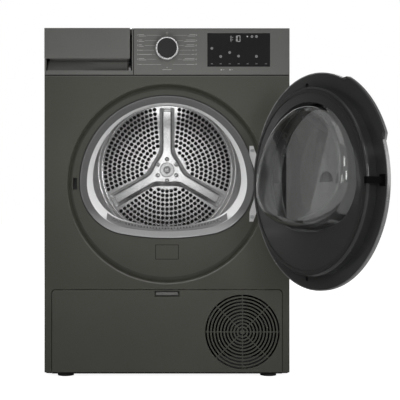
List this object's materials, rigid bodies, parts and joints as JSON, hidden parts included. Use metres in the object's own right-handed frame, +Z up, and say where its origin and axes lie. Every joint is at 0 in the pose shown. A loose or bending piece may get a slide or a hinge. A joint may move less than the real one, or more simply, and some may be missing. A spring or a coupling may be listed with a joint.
{
  "type": "clothes dryer",
  "caption": "Front-loading clothes dryer: steel cabinet with a round swinging door, turning drum, water drawer, dial, lint filter and hinged kick flap.",
  "frame": {"origin": "on the floor under the middle of the cabinet; the underside of the base tray is 6 mm above it", "axes": "+Z up, +X to the right seen from the front, +Y from the front to the back"},
  "size_m": [0.7437, 1.031, 0.85],
  "materials": {
    "body_paint": "satin powder coat, dark warm grey",
    "fascia_grey": "fine satin moulded plastic",
    "black_plastic": "satin moulded plastic",
    "bezel_grey": "satin moulded plastic",
    "throat_grey": "smooth light grey plastic",
    "rim_grey": "metallic grey lacquer",
    "drum_steel": "stainless sheet",
    "zinc_sheet": "zinc coated sheet",
    "smoked_glass": "smoked clear",
    "dark_glass": "dark tinted",
    "display_black": "gloss black",
    "bright_metal": "satin chrome",
    "seal_rubber": "matt",
    "felt": "wool felt",
    "copper": "drawn copper",
    "fin_aluminium": "bare",
    "machine_black": "black enamel",
    "tank_plastic": "translucent grey plastic",
    "base_plastic": "glass filled plastic"
  },
  "bodies": {
    "cabinet": {"base_tray": "base_plastic", "rear_feet": "seal_rubber", "left_side_panel": "body_paint", "right_side_panel": "body_paint", "top_panel": "body_paint", "rear_panel": "zinc_sheet", "rear_bearing": "bright_metal", "rear_air_duct": "zinc_sheet", "cord_gland": "black_plastic", "front_panel": "body_paint", "service_cover": "body_paint", "door_lock": "black_plastic", "opening_bezel": "bezel_grey", "drum_front_shield": "throat_grey", "felt_seals": "felt", "drive_belt": "seal_rubber", "motor_body": "zinc_sheet", "fan_housing": "base_plastic", "evaporator": "fin_aluminium", "condenser": "fin_aluminium", "compressor": "machine_black", "refrigerant_pipes": "copper", "condensate_pump": "black_plastic", "pump_hose": "seal_rubber", "control_fascia": "fascia_grey", "display_window": "display_black", "control_housing": "black_plastic", "drawer_surround": "fascia_grey", "hinge_bracket": "bright_metal", "hinge_pin": "bright_metal", "panel_screws": "zinc_sheet"},
    "door": {"door_outer_cover": "rim_grey", "door_outer_glass": "dark_glass", "door_inner_frame": "black_plastic", "door_screws": "zinc_sheet", "door_bowl_glass": "smoked_glass", "door_gasket": "seal_rubber", "door_hinge_arm": "black_plastic", "door_latch_hook": "black_plastic"},
    "drum": {"drum_shell": "drum_steel", "drum_back": "drum_steel", "drum_spider": "drum_steel", "drum_lifters": "throat_grey", "drum_shaft": "bright_metal"},
    "motor": {"motor_rotor": "bright_metal", "process_impeller": "black_plastic"},
    "idler": {"idler_arm": "zinc_sheet"},
    "idler_roll": {"idler_wheel": "black_plastic"},
    "roller_left": {"left_roller": "seal_rubber"},
    "roller_right": {"right_roller": "seal_rubber"},
    "knob": {"knob_body": "black_plastic", "knob_ring": "bright_metal"},
    "drawer": {"drawer_front": "fascia_grey", "tank_body": "tank_plastic", "tank_lid": "tank_plastic"},
    "flap": {"kick_flap": "fascia_grey"},
    "button": {"flap_button": "fascia_grey"},
    "filter": {"lint_filter": "throat_grey"},
    "foot_left": {"foot_front_left": "seal_rubber"},
    "foot_right": {"foot_front_right": "seal_rubber"}
  },
  "joints": [
    {"name": "door_swing", "type": "hinge", "parent": "cabinet", "child": "door", "pos_m": [0.224, -0.308, 0.472], "axis": [0, 0, 1], "range_deg": [-118, 30]},
    {"name": "drum_spin", "type": "hinge", "parent": "cabinet", "child": "drum", "pos_m": [0, 0, 0.522], "axis": [0, 1, 0], "continuous": true},
    {"name": "motor_spin", "type": "hinge", "parent": "cabinet", "child": "motor", "pos_m": [0.15, 0, 0.13], "axis": [0, 1, 0], "continuous": true},
    {"name": "idler_swing", "type": "hinge", "parent": "cabinet", "child": "idler", "pos_m": [0.08, 0, 0.07], "axis": [0, -1, 0], "range_deg": [0, 10], "stiffness_Nm_per_rad": 3, "springref_deg": -5.73},
    {"name": "idler_spin", "type": "hinge", "parent": "idler", "child": "idler_roll", "pos_m": [0.05726, 0, 0.14965], "axis": [0, 1, 0], "continuous": true},
    {"name": "left_roller_spin", "type": "hinge", "parent": "cabinet", "child": "roller_left", "pos_m": [-0.17511, 0, 0.27191], "axis": [0, 1, 0], "continuous": true},
    {"name": "right_roller_spin", "type": "hinge", "parent": "cabinet", "child": "roller_right", "pos_m": [0.17511, 0, 0.27191], "axis": [0, 1, 0], "continuous": true},
    {"name": "knob_turn", "type": "hinge", "parent": "cabinet", "child": "knob", "pos_m": [0, -0.3, 0.799], "axis": [0, -1, 0], "continuous": true},
    {"name": "drawer_slide", "type": "slide", "parent": "cabinet", "child": "drawer", "axis": [0, -1, 0], "range_m": [0, 0.42]},
    {"name": "flap_swing", "type": "hinge", "parent": "cabinet", "child": "flap", "pos_m": [0, -0.29, 0.02], "axis": [1, 0, 0], "range_deg": [0, 82]},
    {"name": "button_press", "type": "slide", "parent": "flap", "child": "button", "axis": [0, 1, 0], "range_m": [0, 0.004], "stiffness_N_per_m": 300},
    {"name": "filter_lift", "type": "slide", "parent": "cabinet", "child": "filter", "axis": [0, 0, 1], "range_m": [0, 0.17]},
    {"name": "left_foot_turn", "type": "hinge", "parent": "cabinet", "child": "foot_left", "pos_m": [-0.25, -0.26, 0], "axis": [0, 0, 1], "continuous": true},
    {"name": "right_foot_turn", "type": "hinge", "parent": "cabinet", "child": "foot_right", "pos_m": [0.25, -0.26, 0], "axis": [0, 0, 1], "continuous": true}
  ],
  "couplings": [
    {"joint": "motor_spin", "follows": "drum_spin", "ratio": 27.184},
    {"joint": "idler_spin", "follows": "drum_spin", "ratio": -18.667},
    {"joint": "left_roller_spin", "follows": "drum_spin", "ratio": -11.2},
    {"joint": "right_roller_spin", "follows": "drum_spin", "ratio": -11.2}
  ]
}
